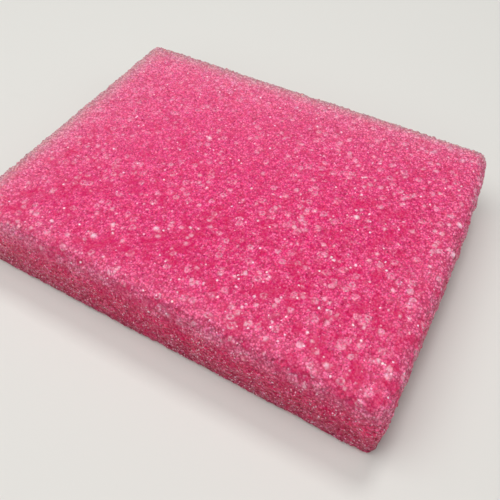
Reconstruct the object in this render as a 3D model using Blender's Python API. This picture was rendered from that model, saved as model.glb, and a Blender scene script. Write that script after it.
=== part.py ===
"""Hand-held foam buffing block for nails and feet.

A rectangular pad of cellular foam that stands on its lower working face. It is built up as
three bonded layers: a thick soft core between two thin working faces that carry the abrasive.
Plan corners and rims are rounded, and one end leans in a little, as knife-cut foam does.
Metres, +Z up, origin at the middle of the underside. X is the length, Y the width.
"""

import bmesh
import bpy

# Driving dimensions, in metres.
LENGTH = 0.080
WIDTH = 0.060
THICKNESS = 0.0135
FACE_DEPTH = 0.0010  # depth of each abrasive working face
BOND_GAP = 0.0003  # clearance left at each bond line
CORNER_RADIUS = 0.0024  # the four upright corners, in plan
TOP_RIM_RADIUS = 0.0022  # the worn upper rim
BOTTOM_RIM_RADIUS = 0.0010  # the sharper lower rim
END_LEAN = 0.0017  # how far the +X end falls back at the +Y corner
LEAN_START = 0.0020  # the Y where that end starts to curve back

# How finely curves are divided.
LEAN_STEPS = 8
CORNER_STEPS = 8
RIM_STEPS = 6

# Base colour, roughness and metallic value of each layer.
FINISHES = {
    "abrasive_face_top": ((0.72, 0.085, 0.205, 1.0), 0.38, 0.0),
    "foam_core": ((0.56, 0.085, 0.150, 1.0), 0.62, 0.0),
    "abrasive_face_bottom": ((0.70, 0.085, 0.200, 1.0), 0.42, 0.0),
}

SLAB_MARGIN = 0.005  # how far a cutting slab reaches past the pad
SAME_HEIGHT = 1e-5  # two heights closer than this are the same level
SQUARE_ENOUGH = 0.9  # edge angle, in radians, from which an upright edge is a corner


def clear_scene():
    for item in list(bpy.data.objects):
        bpy.data.objects.remove(item, do_unlink=True)


def new_collection(name):
    collection = bpy.data.collections.new(name)
    bpy.context.scene.collection.children.link(collection)
    return collection


def plan_outline():
    """The pad seen from above, anticlockwise: three straight sides and the end that leans in."""
    half_length, half_width = LENGTH / 2, WIDTH / 2
    points = [(-half_length, -half_width), (half_length, -half_width)]
    for step in range(LEAN_STEPS + 1):
        along = step / LEAN_STEPS
        y = LEAN_START + (half_width - LEAN_START) * along
        points.append((half_length - END_LEAN * along**2, y))
    points.append((-half_length, half_width))
    return points


def outline_prism():
    """A closed mesh of the plan outline, from the floor up to the full thickness."""
    curve = bpy.data.curves.new("pad_outline", "CURVE")
    curve.dimensions = "2D"
    curve.fill_mode = "BOTH"
    curve.extrude = THICKNESS / 2
    outline = plan_outline()
    spline = curve.splines.new("POLY")
    spline.points.add(len(outline) - 1)
    for point, (x, y) in zip(spline.points, outline):
        point.co = (x, y, 0.0, 1.0)
    spline.use_cyclic_u = True

    guide = bpy.data.objects.new("pad_outline", curve)
    bpy.context.scene.collection.objects.link(guide)
    evaluated = guide.evaluated_get(bpy.context.evaluated_depsgraph_get())
    mesh = bpy.data.meshes.new_from_object(evaluated)
    bpy.data.objects.remove(guide, do_unlink=True)

    shape = bmesh.new()
    shape.from_mesh(mesh)
    bpy.data.meshes.remove(mesh)
    bmesh.ops.remove_doubles(shape, verts=shape.verts, dist=SAME_HEIGHT)
    bmesh.ops.dissolve_limit(shape, angle_limit=0.001, verts=shape.verts, edges=shape.edges)
    bmesh.ops.recalc_face_normals(shape, faces=shape.faces)
    bmesh.ops.translate(shape, vec=(0.0, 0.0, THICKNESS / 2), verts=shape.verts)
    return shape


def rim_edges(shape, height):
    """The edges that run round the pad at one level."""
    return [e for e in shape.edges if all(abs(v.co.z - height) < SAME_HEIGHT for v in e.verts)]


def corner_edges(shape):
    """The four upright edges where two sides of the pad meet."""
    corners = []
    for edge in shape.edges:
        upright = abs(edge.verts[0].co.z - edge.verts[1].co.z) > THICKNESS / 2
        if upright and edge.calc_face_angle() > SQUARE_ENOUGH:
            corners.append(edge)
    return corners


def round_off(shape, edges, radius, steps):
    bmesh.ops.bevel(
        shape, geom=edges, offset=radius, segments=steps, profile=0.5,
        affect="EDGES", offset_type="OFFSET", clamp_overlap=True,
    )


def pad_mesh():
    """The whole rounded pad, before it is divided into layers."""
    shape = outline_prism()
    round_off(shape, corner_edges(shape), CORNER_RADIUS, CORNER_STEPS)
    round_off(shape, rim_edges(shape, THICKNESS), TOP_RIM_RADIUS, RIM_STEPS)
    round_off(shape, rim_edges(shape, 0.0), BOTTOM_RIM_RADIUS, RIM_STEPS)
    mesh = bpy.data.meshes.new("pad")
    shape.to_mesh(mesh)
    shape.free()
    return mesh


def cutting_slab(name, low, high, cutters):
    """A box over the whole plan that keeps only the heights from low to high."""
    bpy.ops.mesh.primitive_cube_add(size=1.0, location=(0.0, 0.0, (low + high) / 2))
    slab = bpy.context.object
    slab.name = name
    slab.scale = (LENGTH + 2 * SLAB_MARGIN, WIDTH + 2 * SLAB_MARGIN, high - low)
    slab.hide_render = True
    slab.display_type = "WIRE"
    for collection in list(slab.users_collection):
        collection.objects.unlink(slab)
    cutters.objects.link(slab)
    return slab


def finish_material(name):
    colour, roughness, metallic = FINISHES[name]
    material = bpy.data.materials.new(name)
    material.use_nodes = True
    shader = material.node_tree.nodes["Principled BSDF"]
    shader.inputs["Base Color"].default_value = colour
    shader.inputs["Roughness"].default_value = roughness
    shader.inputs["Metallic"].default_value = metallic
    material.diffuse_color = colour
    return material


def add_layer(name, low, high, pad, root, parts, cutters):
    """One layer of the pad: the rounded block cut by a slab."""
    mesh = pad.copy()
    mesh.name = name
    mesh.materials.append(finish_material(name))
    layer = bpy.data.objects.new(name, mesh)
    layer.parent = root
    parts.objects.link(layer)
    cut = layer.modifiers.new("keep_layer", "BOOLEAN")
    cut.operation = "INTERSECT"
    cut.solver = "EXACT"
    cut.object = cutting_slab(name + "_slab", low, high, cutters)
    return layer


def build():
    clear_scene()
    parts = new_collection("nail_buffer_block")
    cutters = new_collection("cutters")
    root = bpy.data.objects.new("block_origin", None)
    parts.objects.link(root)

    pad = pad_mesh()
    core_low = FACE_DEPTH + BOND_GAP
    core_high = THICKNESS - FACE_DEPTH - BOND_GAP
    levels = {
        "abrasive_face_bottom": (-SLAB_MARGIN, FACE_DEPTH),
        "foam_core": (core_low, core_high),
        "abrasive_face_top": (THICKNESS - FACE_DEPTH, THICKNESS + SLAB_MARGIN),
    }
    for name, (low, high) in levels.items():
        add_layer(name, low, high, pad, root, parts, cutters)
    bpy.data.meshes.remove(pad)


build()
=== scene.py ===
"""The looks of the foam buffing block: cellular foam surfaces, materials, light and camera.

The block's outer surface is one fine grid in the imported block's shape. A field of foam cells
pits and blisters it, and it is divided at the bond lines into the block's three layers.
"""

import math

import bpy
import numpy as np
from mathutils import Matrix, Vector


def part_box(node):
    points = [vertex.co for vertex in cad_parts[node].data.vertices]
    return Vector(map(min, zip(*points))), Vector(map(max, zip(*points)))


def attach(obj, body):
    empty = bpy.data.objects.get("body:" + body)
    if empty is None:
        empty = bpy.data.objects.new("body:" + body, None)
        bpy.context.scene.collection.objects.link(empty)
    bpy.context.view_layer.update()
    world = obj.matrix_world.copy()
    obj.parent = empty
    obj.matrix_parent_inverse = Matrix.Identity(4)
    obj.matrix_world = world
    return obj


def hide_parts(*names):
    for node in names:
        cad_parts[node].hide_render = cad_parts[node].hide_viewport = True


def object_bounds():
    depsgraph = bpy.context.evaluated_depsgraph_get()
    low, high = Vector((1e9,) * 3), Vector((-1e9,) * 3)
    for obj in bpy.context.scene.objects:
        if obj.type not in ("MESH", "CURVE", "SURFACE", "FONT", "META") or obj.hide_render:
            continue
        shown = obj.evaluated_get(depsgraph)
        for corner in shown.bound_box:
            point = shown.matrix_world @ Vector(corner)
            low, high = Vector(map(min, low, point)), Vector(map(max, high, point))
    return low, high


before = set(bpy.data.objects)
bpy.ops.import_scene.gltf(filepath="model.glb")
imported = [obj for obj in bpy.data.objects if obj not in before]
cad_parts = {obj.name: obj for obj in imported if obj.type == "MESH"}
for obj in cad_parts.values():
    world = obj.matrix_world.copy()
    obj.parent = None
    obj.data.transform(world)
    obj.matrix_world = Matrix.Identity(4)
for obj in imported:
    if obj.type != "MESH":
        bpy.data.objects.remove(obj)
CAD_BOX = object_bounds()

MM = 0.001

# Shape of the block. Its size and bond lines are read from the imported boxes. Its corners and
# upper rim are softer than the CAD's, as worn foam is.
LOW, HIGH = np.array(CAD_BOX[0]), np.array(CAD_BOX[1])
LENGTH, WIDTH, THICKNESS = HIGH - LOW
TOP_BOND = (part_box("foam_core")[1][2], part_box("abrasive_face_top")[0][2])
BOTTOM_BOND = (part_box("abrasive_face_bottom")[1][2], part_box("foam_core")[0][2])
CORNER_REACH = 3.4 * MM  # how far from a plan corner its rounding starts
CORNER_POWER = 4.0  # 2 would be a circle, and more is squarer
TOP_RIM_REACH = 3.0 * MM  # how far in from the outline the upper rim's rounding starts
TOP_RIM_DROP = 3.2 * MM  # how far down the upper rim's rounding goes
FRONT_DROP = 3.6 * MM  # how much further down it goes on the front
BOTTOM_RIM_RADIUS = 1.0 * MM
END_LEAN = 1.7 * MM  # how far the right end falls back at the far corner
LEAN_START = 2.0 * MM  # the Y where that end starts to curve back

# The surface mesh.
GRID = 0.16 * MM
SEAM = 0.02 * MM  # clearance left between two layers at their bond line
CAP_SCALE = 0.97  # size of a layer's flat inner face, against its outline
TRIANGLES = 190_000  # the most that one layer keeps

# The foam cells.
SEED = 11
FACE_CELL = 0.62 * MM  # spacing of the cells on the working faces
SIDE_CELL = 0.52 * MM  # spacing of the cells on the cut sides
JITTER = 0.9  # how far a cell strays from its place, in spacings
SIZE_SPREAD = 0.25  # how unequal the cells are, in squared spacings
BIG_SHARE = 0.03  # share of the cells that are large bubbles
BIG_EXTRA = 0.75  # how much larger those are, in squared spacings
BIG_BULGE = 1.4  # how many times higher they stand

# What the cells do to the surface: pit depth, bubble height, share of cells left open.
FACE_STYLE = {"depth": 0.14 * MM, "bubble": 0.12 * MM, "open_share": 0.30}
SIDE_STYLE = {"depth": 0.26 * MM, "bubble": 0.10 * MM, "open_share": 0.62}
RIM_BOOST = 1.2  # how much stronger their relief gets on the rims
UNDERCUT = 0.2 * MM  # how far the underside is drawn in

# Slow unevenness, as the strength and spacing of each of its noises.
PATCHES = ((0.70, 1.4 * MM), (0.35, 5.0 * MM))  # where more of the cells are open
RAGGED = ((0.12 * MM, 0.8 * MM), (0.24 * MM, 3.4 * MM))  # how far the surface wanders
FOOT_HEIGHT = 6.0 * MM  # the height under which the sides wander less

# The cells look crisper towards the near right corner, and blur towards the far left one.
FAR_CRISPNESS, NEAR_CRISPNESS = 0.54, 1.06
CRISP_SPAN = 36.0 * MM  # how far from the middle the change goes on, each way
BLUR_HAZE = 0.38  # painted light: how much paler the foam gets where it is blurred, towards the far left

# The foam is see-through near the upper edges, and the light that shows through it is painted
# in as paleness; on the front and right it is also painted light on the rounded rim. The back
# and left edges are the palest, with a strength of 1.
RIGHT_PALENESS = 0.44
FRONT_PALENESS = 0.42
PALE_START = 0.6 * MM  # how far in from the outline the paleness starts to fade
PALE_REACHES = ((0.70, 2.4 * MM), (0.30, 9.0 * MM))  # the shares that fade over each distance
RIM_PALE_DEPTHS = (2.8 * MM, 1.1 * MM)  # below the top: where it ends, and where it is full
SIDE_PALE_DEPTHS = (5.5 * MM, 2.0 * MM)  # the same, where it goes on down the front and right

SHADED_HEIGHT = 0.75 * THICKNESS  # painted shade: the foam is painted darker from here down to its foot
BOND_MARGIN = 1.5 * MM  # how near a bond line the light inside the foam dies out


def rise(values, low, high):
    """0 at low, 1 at high, with a straight rise between. Low may be the larger of the two."""
    return np.clip((values - low) / (high - low), 0.0, 1.0)


def smooth(values, low, high):
    """The same, with a smooth rise."""
    t = rise(values, low, high)
    return t * t * (3.0 - 2.0 * t)


def band(values, middle, width):
    """1 at the middle, and less on both sides."""
    return np.exp(-(((values - middle) / width) ** 2))


# ---------------------------------------------------------------- the block's rounded shape


def squeeze(first, second):
    """Turns the square corner of a grid into a quarter circle: scales both to a round distance."""
    longest = np.maximum(first, second)
    distance = np.hypot(first, second)
    return np.where(distance > 0.0, longest / np.maximum(distance, 1e-12), 1.0)


def rounded(points):
    """Moves points of a sharp box on to the rounded block. Returns them and their outward
    normals."""
    half = np.array([LENGTH / 2, WIDTH / 2])
    plan, height = points[:, :2], points[:, 2]
    over = np.clip(np.abs(plan) - (half - CORNER_REACH), 0.0, None)
    anchor = plan - np.sign(plan) * over
    rounding = (over**CORNER_POWER).sum(axis=1) ** (1.0 / CORNER_POWER)
    outward = np.sign(plan) * over / np.maximum(rounding, 1e-12)[:, None]
    inset = CORNER_REACH - over.max(axis=1)

    upper = height > THICKNESS / 2
    top_drop = TOP_RIM_DROP + FRONT_DROP * np.clip(-outward[:, 1], 0.0, 1.0)
    reach = np.where(upper, TOP_RIM_REACH, BOTTOM_RIM_RADIUS)
    drop = np.where(upper, top_drop, BOTTOM_RIM_RADIUS)
    level = np.where(upper, THICKNESS - height, height)
    side = np.clip(1.0 - inset / reach, 0.0, None)
    face = np.clip(1.0 - level / drop, 0.0, None)
    scale = squeeze(side, face)
    inset = np.where(side > 0.0, reach * (1.0 - side * scale), inset)
    level = np.where(face > 0.0, drop * (1.0 - face * scale), level)
    moved = np.empty_like(points)
    moved[:, :2] = anchor + outward * (CORNER_REACH - inset)[:, None]
    moved[:, 2] = np.where(upper, THICKNESS - level, level)

    tilt = np.where(side > 0.0, np.arctan2(face * reach, side * drop), math.pi / 2)
    normals = np.empty_like(points)
    outward /= np.maximum(np.linalg.norm(outward, axis=1), 1e-12)[:, None]
    normals[:, :2] = outward * np.cos(tilt)[:, None]
    normals[:, 2] = np.where(upper, np.sin(tilt), -np.sin(tilt))

    back = rise(moved[:, 1], LEAN_START, WIDTH / 2) ** 2
    moved[:, 0] -= END_LEAN * back * rise(moved[:, 0], 0.0, LENGTH / 2)
    return moved, normals


def rim_level(height):
    """The height on the sharp box that the upper rim's rounding takes to this height, except
    on the front, where it goes further down."""
    sine = 1.0 - (THICKNESS - height) / TOP_RIM_DROP
    return THICKNESS - TOP_RIM_DROP * (1.0 - sine / math.sqrt(1.0 - sine * sine))


# The levels of the two bond lines, on the sharp box.
TOP_LEVEL = rim_level(sum(TOP_BOND) / 2)
BOTTOM_LEVEL = sum(BOTTOM_BOND) / 2

COLUMNS = int(round(LENGTH / GRID))
LINES = int(round(WIDTH / GRID))


def face_grid():
    """A flat grid of points, the quads between them, and its rim's points."""
    xs = np.linspace(-LENGTH / 2, LENGTH / 2, COLUMNS + 1)
    ys = np.linspace(-WIDTH / 2, WIDTH / 2, LINES + 1)
    x, y = np.meshgrid(xs, ys)
    points = np.stack([x.ravel(), y.ravel(), np.zeros(x.size)], axis=1)
    index = np.arange(x.size).reshape(x.shape)
    quads = np.stack([index[:-1, :-1], index[:-1, 1:], index[1:, 1:], index[1:, :-1]], axis=-1)
    rim = np.concatenate([index[0, :-1], index[:-1, -1], index[-1, :0:-1], index[:0:-1, 0]])
    return points, quads.reshape(-1, 4), rim


def wall_quads(upper, lower):
    """Quads between two rings of points, facing outward."""
    after_upper, after_lower = np.roll(upper, -1), np.roll(lower, -1)
    return np.stack([lower, after_lower, after_upper, upper], axis=1)


def levels_between(high, low):
    steps = max(1, int(round((high - low) / GRID)))
    return np.linspace(high, low, steps + 1)


# ---------------------------------------------------------------- foam cells


SPARE_CELLS = 3  # on each side of the block, so that every point has neighbours all round


class Foam:
    """Foam cells: a jittered lattice of cell centres of unequal size, which fills the block."""

    def __init__(self, seed, spacing):
        draw = np.random.default_rng(seed)
        self.spacing = spacing
        self.origin = LOW - SPARE_CELLS * spacing
        self.counts = np.ceil((HIGH - LOW) / spacing).astype(int) + 2 * SPARE_CELLS
        places = np.indices(self.counts).reshape(3, -1).T + 0.5
        places += JITTER * (draw.random(places.shape) - 0.5)
        self.centres = (places * spacing + self.origin).astype(np.float32)
        self.big = draw.random(len(places)) < BIG_SHARE
        spread = SIZE_SPREAD * draw.random(len(places)) + BIG_EXTRA * self.big
        self.weights = (spread * spacing**2).astype(np.float32)
        self.chance = draw.random((len(places), 3)).astype(np.float32)

    def neighbours(self, points):
        """For each of the 27 lattice places round a point, which cell is there."""
        place = np.floor((points - self.origin) / self.spacing).astype(int)
        _, ny, nz = self.counts
        home = (place[:, 0] * ny + place[:, 1]) * nz + place[:, 2]
        for dx in (-1, 0, 1):
            for dy in (-1, 0, 1):
                for dz in (-1, 0, 1):
                    yield home + (dx * ny + dy) * nz + dz

    def measure(self, points):
        """For each point: its cell, the cell's centre, and how far the nearest wall is."""
        points32 = points.astype(np.float32)
        nearest = np.full(len(points), np.inf, np.float32)
        cell = np.zeros(len(points), int)
        for other in self.neighbours(points):
            gap = self.centres[other] - points32
            power = np.einsum("ij,ij->i", gap, gap) - self.weights[other]
            closer = power < nearest
            nearest[closer] = power[closer]
            cell[closer] = other[closer]
        centre = self.centres[cell]
        wall = np.full(len(points), np.inf, np.float32)
        for other in self.neighbours(points):
            there = self.centres[other]
            gap = there - points32
            power = np.einsum("ij,ij->i", gap, gap) - self.weights[other]
            apart = np.sqrt(np.einsum("ij,ij->i", there - centre, there - centre))
            away = (power - nearest) / np.maximum(2 * apart, 1e-9)
            wall = np.minimum(wall, np.where(other == cell, np.inf, away))
        return cell, centre, wall


def noise(points, spacing, seed):
    """Smooth noise from -1 to 1, with features about the given spacing wide."""
    origin = LOW - 2 * spacing  # two spare places on each side, and one to end on
    counts = np.ceil((HIGH - LOW) / spacing).astype(int) + 5
    values = np.random.default_rng(seed).uniform(-1.0, 1.0, counts)
    place = (points - origin) / spacing
    home = np.floor(place).astype(int)
    part = smooth(place - home, 0.0, 1.0)
    total = np.zeros(len(points))
    for dx in (0, 1):
        for dy in (0, 1):
            for dz in (0, 1):
                corner = (home + (dx, dy, dz)).T
                share = [part[:, i] if d else 1.0 - part[:, i] for i, d in enumerate((dx, dy, dz))]
                total += values[tuple(corner)] * share[0] * share[1] * share[2]
    return total


def noises(points, layers, seed):
    """The sum of noises with the given strengths and spacings."""
    total = np.zeros(len(points))
    for step, (strength, spacing) in enumerate(layers):
        total += strength * noise(points, spacing, seed + step)
    return total


def relief(foam, points, patches, style):
    """How far one foam's cells raise or sink the surface, and what each point is part of."""
    cell, centre, wall = foam.measure(points)
    chance = foam.chance[cell]
    big = foam.big[cell]
    reach = np.linalg.norm(centre - points, axis=1)
    across = reach / np.maximum(reach + wall, 1e-9)  # 0 in a cell's middle, 1 on its walls
    dome = 1.0 - across**2
    open_share = np.clip(style["open_share"] * (1.0 + 0.8 * patches), 0.02, 0.95)
    closed = (chance[:, 0] > open_share) | big
    unequal = 0.6 + 0.8 * chance[:, 1]  # no two cells are equally high or deep
    raised = style["bubble"] * unequal * np.where(big, BIG_BULGE, 1.0)
    sunk = style["depth"] * unequal
    height = np.where(closed, raised * dome, -sunk * dome)
    bubble = np.where(closed, dome, 0.0)
    hollow = np.where(closed, 0.0, dome)

    # painted highlights on pearly bubbles
    pearl_glint = closed * rise(chance[:, 2], 0.92, 0.98) * smooth(dome, 0.50, 0.90)
    outlined = 0.35 * smooth(dome, 0.15, 0.6) + 0.65 * band(across, 0.66, 0.16)
    # pale cells: partly their thin walls, partly a painted reflection on their rims
    tone = closed * rise(chance[:, 1], 0.76, 1.0) * outlined
    # a painted reflection round the rims of large bubbles
    ring = big * band(across, 0.74, 0.12)
    return height, bubble, hollow, pearl_glint, tone, ring


FACE_FOAM = Foam(SEED, FACE_CELL)
SIDE_FOAM = Foam(SEED + 1, SIDE_CELL)


def open_patches(base):
    """Above 0 where more of the cells are open, and below 0 where fewer are. Both get stronger
    towards the front."""
    frontward = smooth(-base[:, 1], -WIDTH / 2, WIDTH / 2)
    return noises(base, PATCHES, SEED + 2) * (0.7 + 0.6 * frontward) + 0.2 * frontward


def looseness(height, steepness):
    """How freely the surface wanders: hardly on the flat faces, and less near the foot, so that
    the block stands flat."""
    sides = 0.10 + 0.90 * smooth(steepness, 0.05, 0.40)
    return sides * (0.35 + 0.65 * smooth(height, 0.0, FOOT_HEIGHT))


def crispness(base):
    """How crisp the cells look, which grows diagonally towards the near right corner."""
    near_right = smooth(0.70 * base[:, 0] - 0.71 * base[:, 1], -CRISP_SPAN, CRISP_SPAN)
    return FAR_CRISPNESS + (NEAR_CRISPNESS - FAR_CRISPNESS) * near_right


def from_bonds(points):
    """How far points of the sharp box are from the nearest bond line, along its surface."""
    inset = np.min(np.array([LENGTH / 2, WIDTH / 2]) - np.abs(points[:, :2]), axis=1)
    levels = [np.abs(points[:, 2] - level) for level in (TOP_LEVEL, BOTTOM_LEVEL)]
    return np.min(levels, axis=0) + inset


def painted_edge_light(points):
    """Painted light near each upper edge, from 0 to 1, for the light that shows through the foam.
    On the back and left this stays on the rim, and on the front and right it goes on down the
    side as painted light on the rounded rim."""
    x, y, z = points.T
    rim = smooth(THICKNESS - z, *RIM_PALE_DEPTHS)
    deep = smooth(THICKNESS - z, *SIDE_PALE_DEPTHS)
    edges = (
        (WIDTH / 2 - y, rim),
        (LENGTH / 2 + x, rim),
        (LENGTH / 2 - x, RIGHT_PALENESS * deep),
        (WIDTH / 2 + y, FRONT_PALENESS * deep),
    )
    total = np.zeros(len(points))
    for distance, strength in edges:
        inward = np.clip(distance - PALE_START, 0.0, None)
        near = sum(share * np.exp(-inward / reach) for share, reach in PALE_REACHES)
        total += (strength * near) ** 3
    return np.cbrt(total).clip(0.0, 1.0)


def foam_surface(points):
    """The rounded, pitted surface for points of the sharp box, and its shading values."""
    base, normals = rounded(points)
    steepness = 1.0 - np.abs(normals[:, 2])
    on_side = smooth(steepness, 0.3, 0.95)
    patches = open_patches(base)
    face = relief(FACE_FOAM, base, patches, FACE_STYLE)
    side = relief(SIDE_FOAM, base, patches, SIDE_STYLE)
    mixed = [a * (1.0 - on_side) + b * on_side for a, b in zip(face, side)]
    height, bubble, hollow, pearl_glint, tone, ring = mixed

    loose = looseness(base[:, 2], steepness)
    under = smooth(-normals[:, 2], 0.2, 0.9)
    height = height * (1.0 + RIM_BOOST * loose * (1.0 - on_side))
    height += noises(base, RAGGED, SEED + 4) * loose - under * UNDERCUT
    moved = base + normals * height[:, None]
    moved[:, 2] = np.maximum(moved[:, 2], 0.0)

    crisp = crispness(base)
    edges = painted_edge_light(base)
    values = {
        "bubble": bubble,
        "hollow": hollow * crisp,
        "pearl_glint": pearl_glint * crisp * (1.0 - 0.6 * on_side),
        "tone": tone * crisp,
        "ring": ring * crisp * (1.0 - on_side),
        "patch": patches * crisp * (1.0 - 0.5 * on_side),
        "side": on_side,
        # how strongly the painted shade in the gaps between the beads shows
        "gap_shade": np.clip(0.12 + 0.30 * crisp + 0.25 * edges, 0.0, 0.9),
        # painted light near the upper edges, and towards the far left
        "pale": edges + BLUR_HAZE * np.clip(1.0 - crisp, 0.0, 1.0),
        # painted shade towards the foot
        "low": 1.0 - smooth(base[:, 2], 0.0, SHADED_HEIGHT),
        "whole": smooth(from_bonds(points), 0.0, BOND_MARGIN),
    }
    return moved, values


# ---------------------------------------------------------------- the three layers


def sharp_layer(wall_levels, face):
    """A layer's outside on the sharp box: the grid of its working face, if it has one, and a
    ring of points at each wall level. Returns the points, the quads in blocks, and the rings
    from the top down."""
    grid, quads, rim = face_grid()
    outline = grid[rim]
    top = face is not None and face > THICKNESS / 2
    levels = list(wall_levels)
    blocks, faces, rings, count = [], [], [], 0
    if face is not None:
        levels.remove(face)
        grid[:, 2] = face
        blocks.append(grid)
        faces.append(quads if top else quads[:, ::-1])
        count = len(grid)
    for level in levels:
        ring = outline.copy()
        ring[:, 2] = level
        blocks.append(ring)
        rings.append(np.arange(count, count + len(ring)))
        count += len(ring)
    if face is not None:
        rings.insert(0 if top else len(rings), rim)
    faces += [wall_quads(high, low) for high, low in zip(rings, rings[1:])]
    return np.concatenate(blocks), faces, rings


def cap_ring(outline, height):
    """A smaller ring inside a layer's outline, at the height of its bond face."""
    ring = outline * (CAP_SCALE, CAP_SCALE, 0.0)
    ring[:, 2] = height
    return ring


def layer_mesh(name, wall_levels, face=None, upper_cap=None, lower_cap=None):
    """One closed layer: a ring of wall points at each level, closed above and below by the
    pitted working face or by a flat bond face at the height given. Returns the mesh and the
    points that the bond faces share with the outside."""
    points, faces, rings = sharp_layer(wall_levels, face)
    moved, values = foam_surface(points)
    values["cap"] = np.zeros(len(moved))
    loops, kept = [], []
    ends = ((rings[0], upper_cap, True), (rings[-1], lower_cap, False))
    for ring, height, upward in ends:
        if height is None:
            continue
        moved[ring, 2] += -SEAM / 2 if upward else SEAM / 2
        inner = np.arange(len(moved), len(moved) + len(ring))
        moved = np.concatenate([moved, cap_ring(moved[ring], height)])
        values = {key: np.concatenate([array, array[ring]]) for key, array in values.items()}
        values["cap"][inner] = 1.0
        faces.append(wall_quads(inner, ring) if upward else wall_quads(ring, inner))
        loops.append(inner if upward else inner[::-1])
        kept.append(ring)
    polygons = [quad for block in faces for quad in block.tolist()]
    polygons += [loop.tolist() for loop in loops]
    mesh = bpy.data.meshes.new(name)
    mesh.from_pydata(moved.tolist(), [], polygons)
    for key, array in values.items():
        layer = mesh.attributes.new(key, "FLOAT", "POINT")
        layer.data.foreach_set("value", array.astype(np.float32))
    mesh.update()
    return mesh, np.concatenate(kept)


def thinned(piece, triangles, kept):
    """Applies Decimate, so that the piece keeps its detail in no more than these triangles.
    The points in kept stay where they are, so that two layers meet exactly."""
    mesh = piece.data
    mesh.calc_loop_triangles()
    have = len(mesh.loop_triangles)
    if have <= triangles:
        return
    free = np.setdiff1d(np.arange(len(mesh.vertices)), kept)
    group = piece.vertex_groups.new(name="free")
    group.add(free.tolist(), 1.0, "REPLACE")
    thin = piece.modifiers.new("thin", "DECIMATE")
    thin.ratio = triangles / have
    thin.vertex_group = group.name
    evaluated = piece.evaluated_get(bpy.context.evaluated_depsgraph_get())
    piece.data = bpy.data.meshes.new_from_object(evaluated)
    piece.modifiers.remove(thin)
    bpy.data.meshes.remove(mesh)


def hidden_faces(mesh):
    """Which faces are part of a bond face, inside the block. Also returns the point at each
    face corner, and where each face's corners start."""
    cap = np.empty(len(mesh.vertices), np.float32)
    mesh.attributes["cap"].data.foreach_get("value", cap)
    corners = np.empty(len(mesh.loops), np.int32)
    mesh.loops.foreach_get("vertex_index", corners)
    starts = np.empty(len(mesh.polygons), np.int32)
    mesh.polygons.foreach_get("loop_start", starts)
    return np.maximum.reduceat(cap[corners], starts) > 0.5, corners, starts


PEEL_FLAT = 0.6 * MM  # how far below a working face its sheet starts to spread out
PEEL_MARGIN = 0.004  # share of the map left free round the sheet


def peel(mesh, hidden, corners, starts):
    """Lays the outside out flat in one sheet, as if peeled off, in the UV map that a bake
    uses. The hidden bond faces go in free places beside it or in its middle."""
    points = np.empty(len(mesh.vertices) * 3, np.float32)
    mesh.vertices.foreach_get("co", points)
    points = points.reshape(-1, 3)
    lowest, highest = points[:, 2].min(), points[:, 2].max()
    flat = points[:, :2]
    inner = np.clip(flat, LOW[:2] + CORNER_REACH, HIGH[:2] - CORNER_REACH)
    away = flat - inner
    reach = np.linalg.norm(away, axis=1)
    depth = highest - points[:, 2] if highest > THICKNESS / 2 else points[:, 2] - lowest
    run = reach + np.clip(depth - PEEL_FLAT, 0.0, None)
    sheet = inner + away / np.maximum(reach, 1e-9)[:, None] * run[:, None]
    if highest - lowest > THICKNESS / 2:
        # The core's sheet is open in its middle, so its two bond faces go there side by side.
        sideways = np.where(points[:, 2] > (lowest + highest) / 2, 0.22, -0.22)
        tucked = 0.4 * flat + sideways[:, None] * (LENGTH, 0.0)
    else:
        # A working face fills its sheet, so its one bond face goes past the far edge.
        tucked = 0.1 * flat + (0.0, WIDTH / 2 + 8.0 * MM)
    sizes = np.diff(np.append(starts, len(corners)))
    place = np.where(np.repeat(hidden, sizes)[:, None], tucked[corners], sheet[corners])
    low, high = place.min(axis=0), place.max(axis=0)
    place = PEEL_MARGIN + (1.0 - 2 * PEEL_MARGIN) * (place - low) / (high - low).max()
    mesh.uv_layers.new(name="OFBake").uv.foreach_set("vector", place.astype(np.float32).ravel())


def add_layer(name, node, material, slot, **shape):
    """One layer of the block, which stands for its CAD node."""
    mesh, kept = layer_mesh(name, **shape)
    piece = bpy.data.objects.new(name, mesh)
    bpy.context.scene.collection.objects.link(piece)
    thinned(piece, TRIANGLES, kept)
    hidden, corners, starts = hidden_faces(piece.data)
    piece.data.polygons.foreach_set("use_smooth", ~hidden)
    peel(piece.data, hidden, corners, starts)
    piece.data.materials.clear()
    piece.data.materials.append(material)
    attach(piece, "root")
    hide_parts(node)


# ---------------------------------------------------------------- materials

# The working faces.
DEEP_SHADE = (0.76, 0.003, 0.130, 1.0)  # painted shade, low between the bubbles and in open pits
BEAD = (0.88, 0.034, 0.220, 1.0)  # on top of them
PALE_WALLS_AND_SHEEN = (0.98, 0.240, 0.470, 1.0)  # thin bubble walls, and painted highlights on light beads
CRIMSON = (0.62, 0.002, 0.100, 1.0)  # patches where more of the cells are open
CREVICE_SHADE = (0.27, 0.002, 0.045, 1.0)  # painted shade in the gaps and on dark beads
GLINT_WHITE = (1.00, 0.800, 0.880, 1.0)  # painted glints, and painted highlights on pearly and large bubbles

# The cut sides.
CUT_WALL = (0.90, 0.038, 0.165, 1.0)
# painted shade in the open pits of the cut sides
CUT_DEEP_SHADE = (0.50, 0.004, 0.060, 1.0)
# painted shade towards the foot
FOOT_SHADE = (0.26, 0.022, 0.050, 1.0)

# Painted light on the see-through upper edges, from a faint haze to the outermost rim.
HAZE = (0.96, 0.340, 0.500, 1.0)
EDGE_LIGHT_BEAD = (1.00, 0.600, 0.710, 1.0)
EDGE = (0.70, 0.400, 0.430, 1.0)
EDGE_GAP = (0.46, 0.190, 0.230, 1.0)

FLOOR = (0.70, 0.690, 0.655, 1.0)

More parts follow.
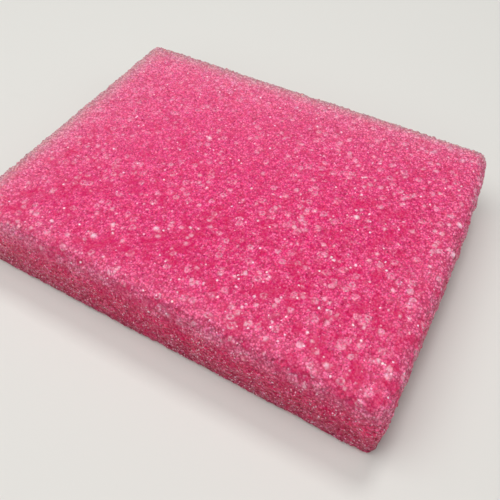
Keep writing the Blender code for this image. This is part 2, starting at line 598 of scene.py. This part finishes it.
BEAD_SPACING = 0.40 * MM  # the fine grain's beads
SPECK_SPACING = 0.26 * MM  # its smallest ones
BEAD_SPREAD = 1.6  # a bead's radius is its spacing divided by this
BUMP_HEIGHT = 0.05 * MM  # how far the beads stand out
GLOW_DEPTH = 0.35 * MM  # how far light spreads inside the foam


def new_material(name):
    material = bpy.data.materials.new(name)
    material.use_nodes = True
    tree = material.node_tree
    return material, tree, tree.nodes["Principled BSDF"]


def attribute(tree, name):
    node = tree.nodes.new("ShaderNodeAttribute")
    node.attribute_name = name
    return node.outputs["Fac"]


def ramp(tree, value, low, high, to_low=0.0, to_high=1.0):
    """A straight change from to_low, where the value is low, to to_high, where it is high."""
    node = tree.nodes.new("ShaderNodeMapRange")
    tree.links.new(value, node.inputs["Value"])
    node.inputs["From Min"].default_value = low
    node.inputs["From Max"].default_value = high
    node.inputs["To Min"].default_value = to_low
    node.inputs["To Max"].default_value = to_high
    return node.outputs["Result"]


def maths(tree, operation, first, second):
    node = tree.nodes.new("ShaderNodeMath")
    node.operation = operation
    for value, socket in zip((first, second), node.inputs):
        if isinstance(value, float):
            socket.default_value = value
        else:
            tree.links.new(value, socket)
    return node.outputs["Value"]


def tint(tree, colour, tone, *amounts):
    """Mixes a tone into a colour, by the product of the amounts."""
    amount = amounts[0]
    for other in amounts[1:]:
        amount = maths(tree, "MULTIPLY", amount, other)
    node = tree.nodes.new("ShaderNodeMix")
    node.data_type = "RGBA"
    tree.links.new(amount, node.inputs["Factor"])
    for value, socket in ((colour, node.inputs["A"]), (tone, node.inputs["B"])):
        if isinstance(value, tuple):
            socket.default_value = value
        else:
            tree.links.new(value, socket)
    return node.outputs["Result"]


def beads(tree, spacing, random_part):
    """Round blisters, fixed to the object: their height from 0 to 1, and a random number for
    each."""
    where = tree.nodes.new("ShaderNodeTexCoord")
    cells = tree.nodes.new("ShaderNodeTexVoronoi")
    cells.inputs["Scale"].default_value = 1.0 / spacing
    tree.links.new(where.outputs["Object"], cells.inputs["Vector"])
    out = maths(tree, "MULTIPLY", cells.outputs["Distance"], BEAD_SPREAD)
    fall = maths(tree, "MULTIPLY", out, out)
    dome = maths(tree, "MAXIMUM", maths(tree, "SUBTRACT", 1.0, fall), 0.0)
    split = tree.nodes.new("ShaderNodeSeparateColor")
    tree.links.new(cells.outputs["Color"], split.inputs["Color"])
    return dome, split.outputs[random_part]


def cell_colour(tree, side):
    """The colour of the cells, on the working faces and on the cut sides, with painted shade in
    their hollows.
    """
    bubble = attribute(tree, "bubble")
    hollow = attribute(tree, "hollow")
    # painted shade: darker low between the bubbles and in the open pits
    face = tint(tree, DEEP_SHADE, BEAD, ramp(tree, bubble, 0.0, 0.5, 0.3, 1.0))
    face = tint(tree, face, DEEP_SHADE, ramp(tree, hollow, 0.0, 0.5, 0.0, 0.5))
    # pale cells: partly their thin walls, partly a painted reflection on their rims
    face = tint(tree, face, PALE_WALLS_AND_SHEEN, ramp(tree, attribute(tree, "tone"), 0.0, 1.0, 0.0, 0.30))
    cut = tint(tree, CUT_WALL, CUT_DEEP_SHADE, ramp(tree, hollow, 0.0, 0.6))
    return tint(tree, face, cut, side)


def add_grain(tree, colour, fine, chance, side):
    """Adds painted light to the fine beads: painted shade in the gaps and on dark beads,
    painted highlights on light beads, both in two sizes, and painted glints on the cut sides."""
    # painted shade in the gaps between the beads, and on dark beads
    gap = ramp(tree, fine, 0.0, 0.7, 1.0, 0.0)
    colour = tint(tree, colour, CREVICE_SHADE, gap, attribute(tree, "gap_shade"))
    colour = tint(tree, colour, CREVICE_SHADE, ramp(tree, chance, 0.0, 0.3, 1.0, 0.0), fine)
    # painted highlights on the tops of light beads
    colour = tint(tree, colour, PALE_WALLS_AND_SHEEN, ramp(tree, chance, 0.4, 1.0, 0.0, 0.68), fine)
    speck, pick = beads(tree, SPECK_SPACING, "Green")
    # painted shade on dark specks
    colour = tint(tree, colour, CREVICE_SHADE, ramp(tree, pick, 0.0, 0.3, 0.9, 0.0), speck)
    # painted highlights on light specks
    colour = tint(tree, colour, PALE_WALLS_AND_SHEEN, ramp(tree, pick, 0.7, 1.0, 0.0, 0.8), speck)
    # painted glints on the cut sides
    side_glint = ramp(tree, pick, 0.86, 0.96)
    return tint(tree, colour, GLINT_WHITE, side_glint, ramp(tree, side, 0.3, 1.0, 0.0, 0.8), speck)


def add_highlights(tree, colour, fine, chance):
    """Adds crimson patches, painted glints on a few beads, and painted highlights on large and
    pearly bubbles.
    """
    patch = attribute(tree, "patch")
    ring = attribute(tree, "ring")
    colour = tint(tree, colour, CRIMSON, ramp(tree, patch, 0.12, 0.60, 0.0, 0.6))
    # painted glints on a few beads
    colour = tint(tree, colour, GLINT_WHITE, ramp(tree, chance, 0.985, 0.995), fine)
    # painted reflection round the rims of large bubbles
    colour = tint(tree, colour, GLINT_WHITE, ramp(tree, ring, 0.0, 1.0, 0.0, 0.5))
    # painted highlights on pearly bubbles
    return tint(tree, colour, GLINT_WHITE, attribute(tree, "pearl_glint"))


def foam_colour(tree, fine, chance):
    side = attribute(tree, "side")
    pale = attribute(tree, "pale")
    low = attribute(tree, "low")
    colour = cell_colour(tree, side)
    # painted light near the upper edges, and towards the far left
    colour = tint(tree, colour, HAZE, ramp(tree, pale, 0.0, 0.6, 0.0, 0.6))
    # painted shade towards the foot
    colour = tint(tree, colour, FOOT_SHADE, ramp(tree, low, 0.0, 1.0, 0.0, 0.76))
    colour = add_grain(tree, colour, fine, chance, side)
    # painted light on beads near the upper edges
    edge_light_share = ramp(tree, pale, 0.1, 0.6, 0.0, 0.5)
    colour = tint(tree, colour, EDGE_LIGHT_BEAD, edge_light_share, ramp(tree, chance, 0.3, 1.0), fine)
    colour = add_highlights(tree, colour, fine, chance)
    # painted light at the outermost rim, with painted shade in the gaps between its beads
    edge = tint(tree, EDGE_GAP, EDGE, ramp(tree, fine, 0.1, 0.8))
    return tint(tree, colour, edge, ramp(tree, pale, 0.44, 0.76, 0.0, 0.9))


def foam_material(name):
    """Glossy pink foam that light spreads in a little, except beside the bond lines, where it
    would leak out between two layers."""
    material, tree, shader = new_material(name)
    fine, chance = beads(tree, BEAD_SPACING, "Red")
    tree.links.new(foam_colour(tree, fine, chance), shader.inputs["Base Color"])
    gloss = ramp(tree, attribute(tree, "bubble"), 0.0, 0.6, 0.35, 0.16)
    tree.links.new(gloss, shader.inputs["Roughness"])
    shader.inputs["IOR"].default_value = 1.45
    shader.inputs["Specular IOR Level"].default_value = 0.24
    glow = ramp(tree, attribute(tree, "whole"), 0.0, 1.0, 0.0, 0.6)
    tree.links.new(glow, shader.inputs["Subsurface Weight"])
    shader.inputs["Subsurface Radius"].default_value = (1.0, 0.15, 0.30)
    shader.inputs["Subsurface Scale"].default_value = GLOW_DEPTH
    bump = tree.nodes.new("ShaderNodeBump")
    bump.inputs["Strength"].default_value = 1.0
    bump.inputs["Distance"].default_value = BUMP_HEIGHT
    swell = maths(tree, "MULTIPLY", fine, ramp(tree, chance, 0.0, 1.0, 0.2, 1.0))
    tree.links.new(swell, bump.inputs["Height"])
    tree.links.new(bump.outputs["Normal"], shader.inputs["Normal"])
    return material


def plain_material(name, colour, roughness):
    material, _, shader = new_material(name)
    shader.inputs["Base Color"].default_value = colour
    shader.inputs["Roughness"].default_value = roughness
    return material


# ---------------------------------------------------------------- floor, light and camera

FLOOR_SIZE = 3.0
WORLD_LIGHT = 0.14

# The lights, which all face the block: place and size in metres, power in watts.
LIGHTS = {
    "key": ((-0.20, -0.12, 0.55), (0.45, 0.45), 2.26),
    "lamp": ((-0.02, 0.22, 0.48), (0.12, 0.12), 0.9),
    "front_fill": ((0.13, -0.44, 0.36), (0.50, 0.30), 0.66),
    "right_fill": ((0.45, 0.05, 0.30), (0.30, 0.30), 0.35),
}

# The camera, held over the block's front edge.
LENS = 38.88  # millimetres
SENSOR_WIDTH = 36.0
CAMERA_PLACE = (0.4594, -0.7564, 1.0362)  # in block lengths
CAMERA_TURN = 29.71  # degrees to the left of straight ahead
CAMERA_DIP = 52.04  # degrees down from level
CAMERA_ROLL = -0.44  # degrees


def add_floor():
    bpy.ops.mesh.primitive_plane_add(size=FLOOR_SIZE)
    floor = bpy.context.object
    floor.name = "floor"
    floor.data.materials.append(plain_material("pale_floor", FLOOR, 0.9))


def add_area_light(name, place, size, power):
    light = bpy.data.lights.new(name, "AREA")
    light.shape = "RECTANGLE"
    light.size, light.size_y = size
    light.energy = power
    lamp = bpy.data.objects.new(name, light)
    lamp.location = place
    lamp.rotation_euler = (-Vector(place)).to_track_quat("-Z", "Y").to_euler()
    bpy.context.scene.collection.objects.link(lamp)


def add_world():
    world = bpy.data.worlds.new("studio")
    world.use_nodes = True
    background = world.node_tree.nodes["Background"]
    background.inputs["Color"].default_value = (1.0, 1.0, 1.0, 1.0)
    background.inputs["Strength"].default_value = WORLD_LIGHT
    bpy.context.scene.world = world


def add_camera():
    """A close-up from above the front edge, as a phone held over the block would take it."""
    camera = bpy.data.cameras.new("camera")
    camera.lens = LENS
    camera.sensor_width = SENSOR_WIDTH
    camera.clip_start = 1.0 * MM
    holder = bpy.data.objects.new("camera", camera)
    place = Matrix.Translation([LENGTH * part for part in CAMERA_PLACE])
    turn = Matrix.Rotation(math.radians(CAMERA_TURN), 4, "Z")
    tip = Matrix.Rotation(math.radians(90.0 - CAMERA_DIP), 4, "X")
    roll = Matrix.Rotation(math.radians(CAMERA_ROLL), 4, "Z")
    holder.matrix_world = place @ turn @ tip @ roll
    bpy.context.scene.collection.objects.link(holder)
    bpy.context.scene.camera = holder


add_camera()
add_floor()
add_world()
for light_name, settings in LIGHTS.items():
    add_area_light(light_name, *settings)
bpy.context.scene.view_settings.view_transform = "Standard"

foam_finish = foam_material("face_foam")
add_layer(
    "upper_working_face", "abrasive_face_top", foam_finish, "working_face",
    wall_levels=levels_between(THICKNESS, TOP_LEVEL), face=THICKNESS, lower_cap=TOP_BOND[1],
)
add_layer(
    "cut_foam_core", "foam_core", foam_finish, "core_foam",
    wall_levels=levels_between(TOP_LEVEL, BOTTOM_LEVEL),
    upper_cap=TOP_BOND[0], lower_cap=BOTTOM_BOND[1],
)
add_layer(
    "lower_working_face", "abrasive_face_bottom", foam_finish, "working_face",
    wall_levels=levels_between(BOTTOM_LEVEL, 0.0), face=0.0, upper_cap=BOTTOM_BOND[0],
)
